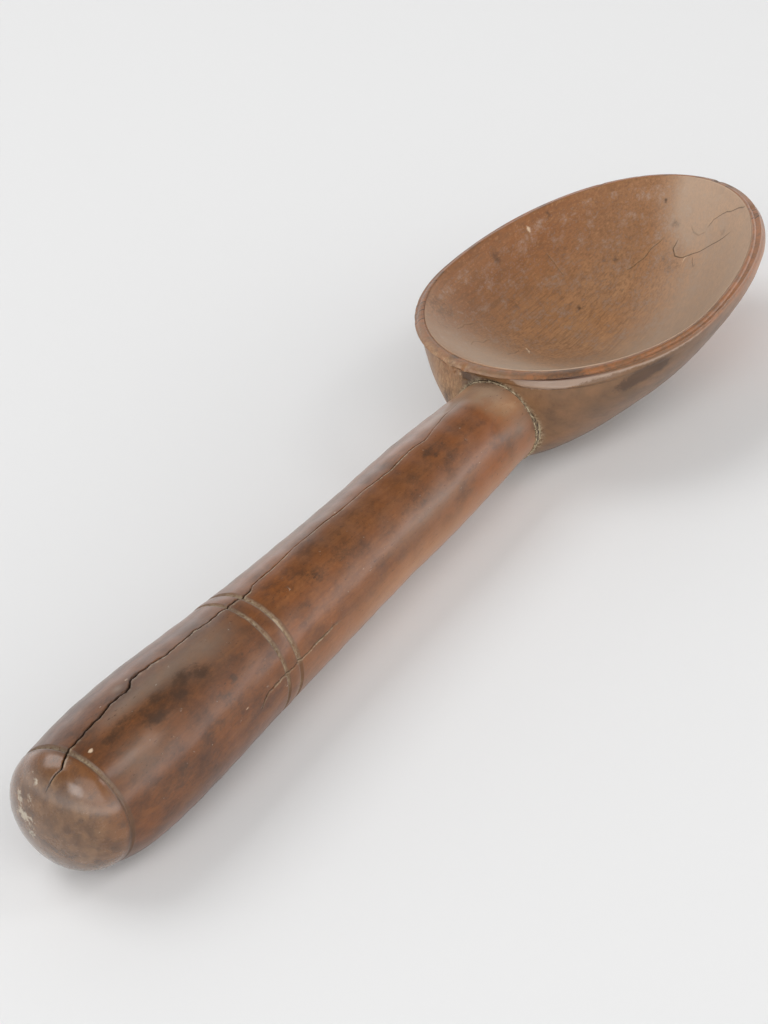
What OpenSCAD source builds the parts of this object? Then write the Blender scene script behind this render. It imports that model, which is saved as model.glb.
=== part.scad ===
// Wooden cream ladle: a carved bowl, a turned handle let into the bowl's neck
// by a round tenon, the hidden wedge that spreads the tenon, and the old glue
// that shows as a pale line round the joint.
// Millimetres. +X runs from the butt to the tip of the bowl, +Z is up. The
// origin is on the table, in the worn flat under the bowl's widest place.

/* [Handle] */
// Length from the butt groove to the shoulder that meets the bowl
handle_len = 174.8; // [164:0.2:210]
// Slope of the handle's axis, which rises towards the bowl, in degrees
handle_tilt = 0.1; // [0:0.1:2]
// Diameter at the butt groove
butt_d = 30.2; // [26:0.1:36]
// Length of the domed butt beyond its groove
dome_len = 9.2; // [4:0.1:16]
// Largest diameter of the grip
grip_d = 32.8; // [28:0.1:40]
// Distance of the grip's swell from the butt groove
grip_at = 22; // [18:0.5:34]
// Diameter at the pair of rings
ring_d = 29.7; // [24:0.1:34]
// Distance of the middle of the pair of rings from the butt groove
ring_at = 58.8; // [48:0.2:70]
// Diameter of the shank
shank_d = 26.4; // [20:0.1:30]
// Distance of the shank's slimmest stretch from the butt groove
shank_at = 112; // [90:1:122]
// Diameter where the taper to the root begins
taper_d = 26.1; // [20:0.1:30]
// Length of the taper to the root
taper_len = 37; // [18:1:48]
// Diameter of the root, at the shoulder
root_d = 22.8; // [18:0.1:25]

/* [Turned rings] */
// Width of the groove at the butt
butt_groove_w = 2.4; // [1:0.1:4]
// Depth of the groove at the butt
butt_groove_depth = 0.9; // [0.3:0.05:1.5]
// Distance between the two rings of the pair
ring_gap = 5.2; // [3:0.1:9]
// Width of each ring
ring_w = 1.8; // [0.8:0.1:2.4]
// Depth of each ring
ring_depth = 0.7; // [0.3:0.05:1.2]

/* [Bowl rim] */
// Height of the rim above the table at the bowl's widest place
rim_h = 33.8; // [32:0.1:44]
// Slope of the rim, which rises towards the tip, in degrees
rim_tilt = 1.5; // [0:0.1:6]
// Width of the bowl over its rim
bowl_w = 80; // [70:0.5:90]
// From the widest place back to the rim's end over the handle
rim_back = 49.6; // [40:0.1:56]
// From the widest place forward to the rim's tip
rim_front = 72.4; // [60:0.2:80]
// Width of the lip along the sides and the tip
lip_w = 2.1; // [1.4:0.1:3]
// Width of the lip over the handle
back_lip_w = 4.4; // [2.5:0.1:6]
// Height of the lip's bevelled outer edge
lip_bevel = 0.7; // [0.2:0.1:1.2]

/* [Bowl outside] */
// Length of the worn flat behind the widest place
flat_back = 24; // [14:0.5:30]
// Length of the worn flat in front of the widest place
flat_front = 18; // [10:0.5:28]
// Width of the worn flat
flat_w = 16; // [8:0.5:26]
// How far the tip swells out below its rim
tip_swell = 1.6; // [0:0.1:5]
// How far the back wall steps in below the lip that hangs over the handle
back_step = 6.8; // [4:0.1:9]
// How much squarer than an ellipse the back of the bowl is below its rim
back_fullness = 0.2; // [0:0.05:0.6]
// How much squarer than an ellipse the front of the bowl is below its rim
front_fullness = 0.4; // [0:0.05:0.8]

/* [Bowl inside] */
// Thickness of the wood under the deepest place
floor_t = 9; // [7:0.1:14]
// Distance of the deepest place in front of the widest place
deep_at = 12; // [4:0.5:20]

/* [Joint] */
// From the bowl's widest place back to the handle's shoulder
seat_back = 42.9; // [40:0.1:46]
// Diameter of the tenon
tenon_d = 12; // [8:0.1:13]
// Length of the tenon
tenon_len = 11; // [7:0.1:12]
// Clearance of the tenon in its socket, on the radius and at the end
tenon_fit = 0.1; // [0.05:0.05:0.3]
// Thickness of the old glue between the shoulder and the neck
glue_t = 0.4; // [0.2:0.05:0.8]
// How far the glue stands out round the handle's root
glue_proud = 0.25; // [0:0.05:0.5]
// How far the neck's collar stands out round the handle's root
collar_proud = 0.9; // [0.4:0.1:2]
// Length of the neck's collar
collar_len = 24; // [16:1:28]
// Depth of the saw kerf in the tenon
kerf_depth = 8.5; // [4:0.1:9]
// Width of the wedge, across the tenon
wedge_w = 8.4; // [5:0.1:9]
// Thickness of the wedge at its thin end
wedge_thin = 0.7; // [0.4:0.1:1.2]
// Thickness of the wedge at its thick end
wedge_thick = 1.9; // [1.2:0.1:2.6]

/* [Hidden] */
$fn = 96;
// A little more than a cut needs, so that no skin is left
over = 1;
// Stations along the handle's outline, and those of its dome
handle_steps = 72;
dome_steps = 12;
// Points round each ring of the bowl, and rings of its outside and its hollow
round_steps = 72;
wall_rings = 16;
hollow_rings = 14;
// How steeply each side of the bowl's wall draws in towards the worn flat
back_curve = 8;
front_curve = 2;
side_curve = 1.8;
// How steeply each side of the hollow climbs from its deepest place
back_climb = 0.7;
front_climb = 0.38;
side_climb = 0.45;
// Brings the swell below the rim to 1 at its largest, a quarter of the way down
swell_gain = 9.48;
// Share of the wall's height over which the back wall steps in below the lip
step_share = 0.13;
// How much closer together the rings of the outside lie near the rim
ring_crowd = 1.3;
// Where the hollow's lowest ring lies, short of the last one's place, in rings
floor_ring = 0.3;
// Power that makes a ring a true ellipse
ellipse_n = 2;

handle_stations = [
    [0, butt_d / 2],
    [grip_at, grip_d / 2],
    [ring_at, ring_d / 2],
    [shank_at, shank_d / 2],
    [handle_len - taper_len, taper_d / 2],
    [handle_len, root_d / 2]
];

// The stretch of a row of stations that holds the place s
function stretch(row, s, i = 0) = (i >= len(row) - 2 || s < row[i + 1][0]) ? i : stretch(row, s, i + 1);

// Slope of the smooth line at station i, which at both ends bends on evenly
function slope_between(row, i, j) = (row[j][1] - row[i][1]) / (row[j][0] - row[i][0]);
function slope_at(row, i) =
    i == 0 ? 2 * slope_between(row, 0, 1) - slope_between(row, 0, 2)
    : i == len(row) - 1 ? 2 * slope_between(row, i - 1, i) - slope_between(row, i - 2, i)
    : slope_between(row, i - 1, i + 1);

// Height at s of the smooth line through the stations
function smooth_at(row, s) =
    let (
        i = stretch(row, s),
        a = row[i],
        b = row[i + 1],
        run = b[0] - a[0],
        t = (s - a[0]) / run,
        keep = (1 + 2 * t) * pow(1 - t, 2)
    )
    keep * a[1] + (1 - keep) * b[1]
    + t * pow(1 - t, 2) * run * slope_at(row, i)
    - t * t * (1 - t) * run * slope_at(row, i + 1);

function handle_r(s) = smooth_at(handle_stations, s);

// Height of the axis at the butt groove, with the grip just touching the table
axis_h = max([for (i = [0:handle_steps])
    let (s = handle_len * i / handle_steps)
    handle_r(s) * cos(handle_tilt) - s * sin(handle_tilt)]);
seat_h = axis_h + handle_len * sin(handle_tilt);
root_r = root_d / 2;
tenon_r = tenon_d / 2;
socket_r = tenon_r + tenon_fit;
collar_r = root_r + collar_proud;

// Height of the rim's plane at x, and of the same plane lowered by the share t
function rim_z(x) = rim_h + x * tan(rim_tilt);
function wall_z(x, t) = rim_z(x) * (1 - t);
function hollow_z(x, u) = rim_z(x) * (1 - u) + floor_t * u;

// Swell below the rim: nothing at the rim and at the flat, 1 at its largest
function swell(t) = swell_gain * t * pow(1 - t, 3);

// Half lengths and half width of the outside, at the share t of the way down
function wall_back(t) =
    flat_back + (rim_back - flat_back) * (1 - pow(t, back_curve))
    - back_step * min(t / step_share, 1) * (1 - t);
function wall_front(t) =
    flat_front + (rim_front - flat_front) * (1 - pow(t, front_curve)) + tip_swell * swell(t);
function wall_side(t) = (flat_w + (bowl_w - flat_w) * (1 - pow(t, side_curve))) / 2;

// Ends and half width of the hollow, at the share u of the way down
function hollow_back(u) = deep_at - (deep_at + rim_back - back_lip_w) * pow(1 - u, back_climb);
function hollow_front(u) = deep_at + (rim_front - lip_w - deep_at) * pow(1 - u, front_climb);
function hollow_side(u) = (bowl_w / 2 - lip_w) * pow(1 - u, side_climb);

// Point of an egg-shaped ring: an ellipse behind x = mid and another in front
// of it, both of the half width side, made squarer by the powers back_n, front_n
function egg(angle, mid, back, front, side, back_n = ellipse_n, front_n = ellipse_n) =
    let (
        c = cos(angle),
        s = sin(angle),
        along = c > 0 ? front : back,
        n = c > 0 ? front_n : back_n
    )
    [mid + sign(c) * along * pow(abs(c), 2 / n), sign(s) * side * pow(abs(s), 2 / n)];

// Solid of a stack of rings, each with the same count of points
module ring_stack(rings) {
    n = len(rings[0]);
    last = len(rings) - 1;
    sides = [for (j = [0:last - 1], i = [0:n - 1])
        let (a = j * n + i, b = j * n + (i + 1) % n)
        each [[b, a, a + n], [b, a + n, b + n]]];
    ends = [[for (i = [0:n - 1]) i], [for (i = [n - 1:-1:0]) last * n + i]];
    polyhedron(points = [for (ring = rings) each ring], faces = concat(sides, ends), convexity = 6);
}

// Frame of the joint: its origin is on the handle's axis at the neck's seat,
// and +X runs along the axis into the bowl
module at_seat() {
    translate([-seat_back, 0, seat_h])
        rotate([0, -handle_tilt, 0])
            children();
}

// Solid of revolution about the joint's axis, from points [x, radius]
module turned(outline) {
    rotate([0, 90, 0])
        rotate_extrude()
            polygon([for (p = outline) [p[1], p[0]]]);
}

// Outside of the bowl without its neck's collar, solid to the rim
module bowl_outside() {
    bevel_t = lip_bevel / rim_h;
    shares = [for (j = [wall_rings:-1:0]) bevel_t + (1 - bevel_t) * pow(j / wall_rings, ring_crowd)];
    walls = [for (t = shares) [for (i = [0:round_steps - 1])
        let (p = egg(360 * i / round_steps, 0, wall_back(t), wall_front(t), wall_side(t),
            ellipse_n + back_fullness * swell(t), ellipse_n + front_fullness * swell(t)))
        [p[0], p[1], wall_z(p[0], t)]]];
    top = [for (i = [0:round_steps - 1])
        let (p = egg(360 * i / round_steps, 0, rim_back - lip_bevel, rim_front - lip_bevel,
            bowl_w / 2 - lip_bevel))
        [p[0], p[1], rim_z(p[0])]];
    ring_stack(concat(walls, [top]));
}

// The bowl's hollow. Its last ring lies above the rim, so that it cuts clean.
module bowl_hollow() {
    shares = concat([for (j = [hollow_rings:-1:1])
        1 - pow(1 - min(j, hollow_rings - floor_ring) / hollow_rings, 2)], [-over / rim_h]);
    ring_stack([for (u = shares) [for (i = [0:round_steps - 1])
        let (
            mid = deep_at * u,
            p = egg(360 * i / round_steps, mid, mid - hollow_back(u), hollow_front(u) - mid, hollow_side(u))
        )
        [p[0], p[1], hollow_z(p[0], u)]]]);
}

// Collar of the neck: the wood that surrounds the socket, flush with the wall
module neck_collar() {
    at_seat()
        rotate([0, 90, 0])
            cylinder(r = collar_r, h = collar_len);
}

module bowl() {
    color("#9b7152")
        difference() {
            union() {
                bowl_outside();
                neck_collar();
            }
            bowl_hollow();
            // Room for the handle's root and its glue in front of the seat
            at_seat()
                rotate([0, -90, 0])
                    cylinder(r = root_r + glue_proud, h = rim_back);
            // Socket of the tenon
            at_seat()
                translate([-over, 0, 0])
                    rotate([0, 90, 0])
                        cylinder(r = socket_r, h = tenon_len + tenon_fit + over);
        }
}

// Solid that a turned groove takes away, at the place s along the handle
module ring_cut(s, width, depth) {
    r = handle_r(s);
    turned([[s - width, r + depth], [s, r - depth], [s + width, r + depth]]);
}

// Outline of the handle without its tenon, from the pole of the dome
function handle_outline() = concat(
    [for (i = [0:dome_steps - 1])
        let (a = 90 * i / dome_steps)
        [-dome_len * cos(a), butt_d / 2 * sin(a)]],
    [for (i = [0:handle_steps])
        let (s = handle_len * i / handle_steps)
        [s, handle_r(s)]],
    [[handle_len, 0]]
);

// The wedge's outline from above: thin end first, then the thick end that lies
// against the bottom of the socket
module wedge_outline(depth) {
    polygon([
        [tenon_len - depth, -wedge_thin / 2],
        [tenon_len, -wedge_thick / 2],
        [tenon_len, wedge_thick / 2],
        [tenon_len - depth, wedge_thin / 2]
    ]);
}

module handle() {
    color("#8a5236")
        at_seat()
            difference() {
                union() {
                    translate([-glue_t - handle_len, 0, 0])
                        difference() {
                            turned(handle_outline());
                            ring_cut(0, butt_groove_w / 2, butt_groove_depth);
                            for (side = [-1, 1])
                                ring_cut(ring_at + side * ring_gap / 2, ring_w / 2, ring_depth);
                        }
                    translate([-glue_t - over, 0, 0])
                        rotate([0, 90, 0])
                            cylinder(r = tenon_r, h = tenon_len + glue_t + over);
                }
                // Kerf for the wedge, right across the tenon
                translate([0, 0, -tenon_d])
                    linear_extrude(2 * tenon_d)
                        wedge_outline(kerf_depth);
            }
}

module tenon_wedge() {
    color("#b08a5c")
        at_seat()
            translate([0, 0, -wedge_w / 2])
                linear_extrude(wedge_w)
                    wedge_outline(kerf_depth);
}

module glue_line() {
    color("#cdbf9f")
        at_seat()
            rotate([0, -90, 0])
                difference() {
                    cylinder(r = root_r + glue_proud, h = glue_t);
                    translate([0, 0, -over])
                        cylinder(r = tenon_r, h = glue_t + 2 * over);
                }
}

bowl();
handle();
tenon_wedge();
glue_line();
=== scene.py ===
"""Wooden cream ladle: a worn carved bowl, a cracked turned handle and the pale old glue of their joint."""

import math
from types import SimpleNamespace

import bpy
import numpy as np
from mathutils import Matrix, Vector


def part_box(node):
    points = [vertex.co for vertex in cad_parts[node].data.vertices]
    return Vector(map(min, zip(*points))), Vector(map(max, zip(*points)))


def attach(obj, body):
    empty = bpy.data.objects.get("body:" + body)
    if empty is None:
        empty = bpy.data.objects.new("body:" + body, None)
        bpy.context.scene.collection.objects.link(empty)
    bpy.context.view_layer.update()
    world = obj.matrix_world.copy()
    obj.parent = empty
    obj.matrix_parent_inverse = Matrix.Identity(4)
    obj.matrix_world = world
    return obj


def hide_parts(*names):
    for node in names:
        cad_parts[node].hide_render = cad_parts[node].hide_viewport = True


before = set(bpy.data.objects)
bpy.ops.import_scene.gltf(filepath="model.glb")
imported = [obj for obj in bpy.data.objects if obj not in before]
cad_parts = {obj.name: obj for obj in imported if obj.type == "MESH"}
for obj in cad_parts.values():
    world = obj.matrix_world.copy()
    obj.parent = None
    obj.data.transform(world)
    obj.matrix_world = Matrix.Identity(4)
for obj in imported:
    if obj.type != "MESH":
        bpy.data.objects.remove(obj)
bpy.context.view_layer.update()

# Sizes in millimetres, as in the part's source. Angles round the handle are in degrees from
# the top, with +90 on the far side and -90 on the side that faces the camera.
MM = 0.001
BUTT_R = 15.1
# The dome beyond the butt groove, and the handle from that groove to its shoulder
DOME_LEN = 9.2
HANDLE_LEN = 174.8
# Outline of the handle, as (place, radius). Places along the handle are measured from the butt groove.
HANDLE_STATIONS = ((0, BUTT_R), (22, 16.4), (58.8, 14.85), (112, 13.2), (137.8, 13.05), (HANDLE_LEN, 11.4))
# Slope of the handle's axis in degrees
HANDLE_TILT = 0.1
# From the bowl's widest place back to the neck's seat, and the glue between the seat and the shoulder
SEAT_BACK = 42.9
GLUE_T = 0.4
SHOULDER_X = -SEAT_BACK - GLUE_T
BUTT_X = SHOULDER_X - HANDLE_LEN
AXIS_H = (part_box("handle")[0].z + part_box("handle")[1].z) / 2 / MM
ROOT_R = HANDLE_STATIONS[-1][1]
TENON_R = 6.0
TENON_LEN = 11.0
SOCKET_R = 6.1
# Radius of the room in the neck for the handle's root and the glue round it
ROOM_R = ROOT_R + 0.25

# Height of the rim at the bowl's widest place, and its slope in degrees
RIM_H = 33.8
RIM_TILT = 1.5
# Reach of the rim and of the worn flat from the widest place: back, forward and to each side
RIM_BACK, RIM_FRONT, RIM_SIDE = 49.6, 72.4, 40.0
FLAT_BACK, FLAT_FRONT, FLAT_SIDE = 24.0, 18.0, 8.0
# Width of the lip, its width over the handle, and its bevel
LIP_W, BACK_LIP_W, LIP_BEVEL = 2.1, 4.4, 0.7
# How far the tip swells out below the rim, and how far the back steps in and over what share of the wall
TIP_SWELL, BACK_STEP, STEP_SHARE = 1.6, 6.8, 0.13
# Brings the swell below the rim to 1 at its largest
SWELL_GAIN = 9.48
# How much squarer than an ellipse the bowl is below its rim
BACK_FULLNESS, FRONT_FULLNESS = 0.2, 0.4
# Wood under the deepest place, and how far that place lies in front of the widest one
FLOOR_T, DEEP_AT = 9.0, 12.0
# How steeply the wall draws in towards the flat, and how steeply the hollow climbs to the lip
BACK_CURVE, FRONT_CURVE, SIDE_CURVE = 8, 2, 1.8
BACK_CLIMB, FRONT_CLIMB, SIDE_CLIMB = 0.7, 0.38, 0.45


# Curves and uneven surfaces


def smooth(stations, s):
    """Height at s of the smooth line through the stations, which are (place, height)."""
    at, height = np.array(stations, float).T
    gap = np.diff(height) / np.diff(at)
    slope = np.empty_like(height)
    slope[1:-1] = (height[2:] - height[:-2]) / (at[2:] - at[:-2])
    slope[0] = 2 * gap[0] - slope[1]
    slope[-1] = 2 * gap[-1] - slope[-2]
    i = np.clip(np.searchsorted(at, s, side="right") - 1, 0, len(at) - 2)
    run = at[i + 1] - at[i]
    t = (s - at[i]) / run
    keep = (1 + 2 * t) * (1 - t) ** 2
    bend = t * (1 - t) ** 2 * slope[i] - t * t * (1 - t) * slope[i + 1]
    return keep * height[i] + (1 - keep) * height[i + 1] + run * bend


def along(stations, s):
    """Value at s of the straight lines through the stations."""
    at, value = np.array(stations, float).T
    return np.interp(s, at, value)


def hump(distance, width):
    """1 at no distance, falling smoothly to nothing past about twice the width."""
    return np.exp(-((distance / width) ** 2))


def step(value, low, high):
    """0 up to low, 1 from high on, and smooth between them."""
    t = np.clip((value - low) / (high - low), 0, 1)
    return t * t * (3 - 2 * t)


def turn(a, b):
    """Angle from b to a in degrees, between -180 and 180."""
    return (a - b + 180) % 360 - 180


# Waves that a ripple sums, and what brings their sum to about 1
RIPPLE_WAVES = 7
RIPPLE_LEVEL = 3.2


def ripple(points, size, seed):
    """An uneven value between about -1 and 1, with lumps of the given size in millimetres."""
    rng = np.random.default_rng(seed)
    total = 0
    for _ in range(RIPPLE_WAVES):
        way = rng.normal(size=3)
        way *= rng.uniform(0.6, 1.5) * math.pi / size / np.linalg.norm(way)
        total = total + np.sin(points @ way + rng.uniform(0, 2 * math.pi))
    return total / RIPPLE_LEVEL


# Fine steps over which crowded adds up the spacing
CROWD_STEPS = 6000


def crowded(start, end, count, spots, gain):
    """count places from start to end. Near each spot (place, width) they lie gain + 1 times closer."""
    fine = np.linspace(start, end, CROWD_STEPS)
    crowd = sum(hump(fine - place, width) for place, width in spots)
    density = 1 + gain * np.minimum(crowd, 1)
    total = np.concatenate([[0], np.cumsum((density[1:] + density[:-1]) / 2)])
    return np.interp(np.linspace(0, total[-1], count), total, fine)


def gap_to_line(points, line):
    """Each point's (x, y) signed distance from a line of points, and how far along it lies, from 0 to 1."""
    line = np.array(line, float)
    run = np.linalg.norm(np.diff(line, axis=0), axis=1)
    reached = np.concatenate([[0], np.cumsum(run)])
    best = np.full(len(points), np.inf)
    share = np.zeros(len(points))
    for i, length in enumerate(run):
        way = (line[i + 1] - line[i]) / length
        off = points - line[i]
        t = np.clip(off @ way, 0, length)
        side = np.where(off[:, 0] * way[1] > off[:, 1] * way[0], 1, -1)
        gap = np.linalg.norm(off - t[:, None] * way, axis=1)
        nearer = gap < np.abs(best)
        best = np.where(nearer, gap * side, best)
        share = np.where(nearer, (reached[i] + t) / reached[-1], share)
    return best, share


def scratches(points, lines, half_width):
    """How strongly thin scratches mark each point (x, y)."""
    total = 0
    for line in lines:
        off, share = gap_to_line(points, line)
        total = total + np.clip(1 - np.abs(off) / half_width, 0, 1) * np.sin(np.pi * share) ** 0.5
    return total


# Meshes

# Least angle in degrees of a hard edge, and points round a solid that cuts
SHARP_ANGLE = 40
CUT_AROUND = 256


def new_object(name, data):
    made = bpy.data.objects.new(name, data)
    bpy.context.scene.collection.objects.link(made)
    return made


def new_piece(name, points, faces, soft=True):
    """An object made of points in metres and faces between them."""
    mesh = bpy.data.meshes.new(name)
    mesh.from_pydata(points, [], faces)
    mesh.polygons.foreach_set("use_smooth", np.full(len(mesh.polygons), soft))
    mesh.update()
    return new_object(name, mesh)


def ring_quads(count, around, steps):
    """Faces between rows of points round a form, from each row to the next, for the first steps rows."""
    i, j = np.meshgrid(np.arange(steps), np.arange(around), indexing="ij")
    i2, j2 = (i + 1) % count, (j + 1) % around
    corners = [i * around + j, i2 * around + j, i2 * around + j2, i * around + j2]
    return np.stack(corners, -1).reshape(-1, 4)


def ring_grid(name, rows, first, last):
    """A closed mesh from rows of points round a form, with a pole point at each end."""
    count, around = rows.shape[:2]
    points = np.concatenate([rows.reshape(-1, 3), [first, last]]) * MM
    j = np.arange(around)
    k = (j + 1) % around
    base, top = (count - 1) * around, np.full(around, count * around)
    fans = np.concatenate([np.stack([top, j, k], -1), np.stack([base + j, top + 1, base + k], -1)])
    return new_piece(name, points.tolist(), ring_quads(count, around, count - 1).tolist() + fans.tolist())


def closed_loop(name, rows):
    """A closed ring-shaped mesh whose last row joins its first."""
    count, around = rows.shape[:2]
    quads = ring_quads(count, around, count)[:, [0, 3, 2, 1]]
    return new_piece(name, (rows.reshape(-1, 3) * MM).tolist(), quads.tolist())


def round_ring(x, r, around):
    """Points at the places x along the handle's axis and r from it, for angles in radians."""
    return np.stack(np.broadcast_arrays(x, r * np.sin(around), axis_z(x) + r * np.cos(around)), -1)


def revolved(name, outline):
    """A closed solid of revolution about the handle's axis, from points (x, radius)."""
    around = np.radians(np.arange(CUT_AROUND) * 360 / CUT_AROUND)
    rows = np.array([round_ring(x, r, around) for x, r in outline])
    ends = [(x, 0, axis_z(x)) for x in (outline[0][0], outline[-1][0])]
    return ring_grid(name, rows, *ends)


def bake(piece):
    """Turns what the piece's modifier makes into its plain mesh."""
    graph = bpy.context.evaluated_depsgraph_get()
    mesh = bpy.data.meshes.new_from_object(piece.evaluated_get(graph))
    piece.modifiers.clear()
    piece.data = mesh


def cut(piece, tool):
    """Takes the tool's solid away from the piece, and deletes the tool."""
    modifier = piece.modifiers.new("cut", "BOOLEAN")
    modifier.operation = "DIFFERENCE"
    modifier.solver = "MANIFOLD"
    modifier.object = tool
    bake(piece)
    bpy.data.objects.remove(tool)


def places(piece):
    """The piece's vertices in millimetres."""
    found = np.empty(len(piece.data.vertices) * 3)
    piece.data.vertices.foreach_get("co", found)
    return found.reshape(-1, 3) / MM


def mark(piece, **marks):
    """Stores each named mark, a number at every vertex, for the materials to read."""
    for name, value in marks.items():
        layer = piece.data.attributes.new(name, "FLOAT", "POINT")
        layer.data.foreach_set("value", np.asarray(value, np.float32))


def soften(piece):
    """Smooth shading, with a hard line only where faces meet sharply."""
    piece.data.set_sharp_from_angle(angle=math.radians(SHARP_ANGLE))


# Handle

# Thickness of the wedge's thin end, as a share of its thick end's
WEDGE_TAPER = 0.35
# How far from a crack's middle its marks still count, in half widths
CRACK_REACH = 9
# Rows of points on the dome and on the rest, and points round each
DOME_ROWS, HANDLE_ROWS, HANDLE_AROUND = 60, 430, 190


def axis_z(x):
    return AXIS_H + (x - BUTT_X) * math.tan(math.radians(HANDLE_TILT))


# Cracks as (place, angle), with their depth, half width and share of pale dust at places along them
TOP_CRACK = (
    (-7.5, -3), (-3.6, -9), (0, -4), (5, -3.5), (11, -2), (17, -1), (22, -1.5), (24, 3.5), (26.5, 5),
    (29.5, 2.5), (36.5, 0.5), (46, 1), (56.5, -1), (64, -3.8), (66.5, -0.5), (75, 0.5), (85, 3), (95, 3),
    (103, 1), (114, 1), (123, -2.5), (133, 0.5), (139, -3), (151, 6.5), (162, 11.5), (171, 8.5),
)
TOP_CRACK_DEPTH = (
    (-7.5, 0), (-6.5, 0.6), (0, 1.1), (22, 1.2), (23.5, 0.5), (25, 1.2), (30, 0.9), (38, 0.6), (54, 0.6),
    (57, 1.0), (63, 0.9), (66, 0.3), (78, 0.4), (84, 0.1), (92, 0.12), (98, 0.35), (106, 0.1), (113, 0.12),
    (118, 0.4), (132, 0.35), (138, 0.4), (144, 0.1), (150, 0.18), (158, 0.06), (171, 0.05),
)
TOP_CRACK_WIDTH = (
    (-7, 0.2), (0, 0.24), (20, 0.28), (27, 0.34), (36, 0.17), (55, 0.18), (60, 0.25), (68, 0.15),
    (171, 0.13),
)
TOP_CRACK_DUST = (
    (-7, 0.1), (0, 0.6), (5, 0.1), (24, 0.2), (34, 0.6), (54, 0.8), (60, 0.4), (68, 0.8), (125, 1),
    (150, 0.3),
)
# The short crack across the rings on the side that faces the camera
SIDE_CRACK = ((45.5, -90), (47, -84), (49, -81.5), (56, -82.5), (64, -82), (70, -82), (76, -81.5), (82, -84))
SIDE_CRACK_DEPTH = ((45, 0), (46.5, 0.5), (56, 0.4), (72, 0.4), (82, 0))
SIDE_CRACK_WIDTH = ((45, 0.2), (60, 0.16), (82, 0.15))
SIDE_CRACK_DUST = ((45, 0.1), (52, 0.5), (60, 0.4), (66, 0.7), (74, 0.6), (80, 0))
# The angles that the two cracks wander about
TOP_CRACK_AT, SIDE_CRACK_AT = 0, -83
CRACKS = (
    (TOP_CRACK, TOP_CRACK_DEPTH, TOP_CRACK_WIDTH, TOP_CRACK_DUST),
    (SIDE_CRACK, SIDE_CRACK_DEPTH, SIDE_CRACK_WIDTH, SIDE_CRACK_DUST),
)

# Turned grooves: place, how far it strays towards the bowl on the far side, half width and depth
GROOVES = ((0.2, 0.2, 0.7, 0.6), (56.3, 1.8, 0.65, 0.42), (61.4, 1.2, 0.85, 0.5))
# Places up to here belong to the butt's groove, and those past it to the pair of rings
BUTT_GROOVE_END = 20

# Dark stains on the handle, grey places that are partly worn wood and partly painted sheen and highlights,
# and pale nicks, as (place, angle, length, width, strength), in millimetres and degrees
HANDLE_STAINS = (
    (8, -22, 3, 1.6, 0.8), (13, -20, 3, 1.6, 0.7), (18, -29, 3, 2.2, 1.1), (23, -25, 2.5, 1.6, 1.1),
    (27, -33, 3, 1.8, 1.0), (32, -24, 3, 1.6, 1.0), (36, -31, 3, 2.0, 1.0), (20, -36, 2, 1.2, 0.9),
    (14, -84, 5, 2.4, 0.6), (28, -72, 6, 2.0, 0.5), (36, -58, 5, 2.4, 0.6), (17.6, -76, 1.6, 1.2, 0.8),
    (41.6, -52, 1.1, 0.9, 1.0), (47.6, -42, 0.5, 0.4, 1.2), (52, -62, 7, 2.0, 0.45), (70, -22, 9, 4.0, 0.5),
    (80, -34, 3, 2.0, 0.6), (91, -39, 7, 3.0, 0.5), (88.6, -2, 0.6, 0.4, 1.1), (104, -20, 12, 3.0, 0.35),
    (118, -48, 9, 3.0, 0.4), (134.5, -17, 3, 1.4, 0.8), (136, -26, 1.5, 0.8, 0.8),
    (140.6, -21.5, 0.5, 0.4, 1.2), (142.4, -63.5, 3, 1.2, 0.55), (155.2, -34, 2.4, 1.6, 0.6),
    (-8.6, -170, 1.0, 0.8, 1.1), (-1.9, -79, 1.2, 1.2, 0.9), (-3.4, -101, 1.6, 1.8, 0.8),
    (-2.4, -58, 1.4, 2.0, 0.5), (-6.5, -100, 3.0, 2.4, 0.5), (-5, -140, 2.4, 3.4, 0.5),
    (-7.5, -40, 3.0, 2.2, 0.35),
)
HANDLE_GREYS_AND_SHEENS = (
    (16, -11, 9, 2.0, 0.8), (28, -12, 8, 2.4, 0.7), (42, -16, 11, 4.4, 0.8), (20.6, 6, 1.4, 0.9, 0.9),
    (101.6, 10, 3, 0.8, 0.8), (88, 22, 30, 3.0, 0.35), (150, 18, 20, 2.5, 0.4), (167.5, -14, 5, 4.5, 1.1),
    (171, 5, 3, 4, 0.9), (168, -66, 8, 3.4, 0.9), (158, 12, 10, 2.5, 0.9), (10, -46, 8, 4.2, 0.6),
    (124, -66, 22, 2.5, 0.5),
)
HANDLE_NICKS = (
    (2.9, -18.5, 0.9, 0.35, 1.2), (61.2, -46, 0.5, 1.6, 1.2), (61.5, -41, 0.5, 0.8, 1.0),
    (98.4, -33.5, 0.5, 0.3, 0.8), (92.6, -61, 0.7, 0.4, 0.7), (101.6, 4, 0.6, 0.35, 0.8),
    (135, -12, 0.7, 0.4, 0.6), (24, 7, 1.0, 0.5, 0.7), (174, -112, 0.5, 0.7, 1.4), (52, -58, 0.6, 0.5, 0.6),
)
# Chalky specks on the dome
CHALK = (
    (-8.3, 75, 3.2, 1.6, 1.0), (-7.4, 49, 1.6, 1.2, 0.8), (-8.6, 120, 2.0, 1.4, 0.8),
    (-6.4, 14, 1.4, 0.7, 0.75), (-5.0, 20, 1.0, 0.5, 0.7), (-8.0, 30, 2.2, 1.0, 0.6),
)
# Faint pale scratches round the handle, as (place, angle) points
HANDLE_SCRATCHES = (
    ((17.4, -42), (19, -54), (21.2, -67)),
    ((171.9, 17), (173.4, 6.5), (172.1, -6.5)),
    ((45, -75), (39, -79), (36, -80)),
)


def handle_radius(s):
    dome = BUTT_R * np.sqrt(np.clip(1 - (np.minimum(s, 0) / DOME_LEN) ** 2, 0, 1))
    return np.where(s < 0, dome, smooth(HANDLE_STATIONS, np.maximum(s, 0)))


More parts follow.
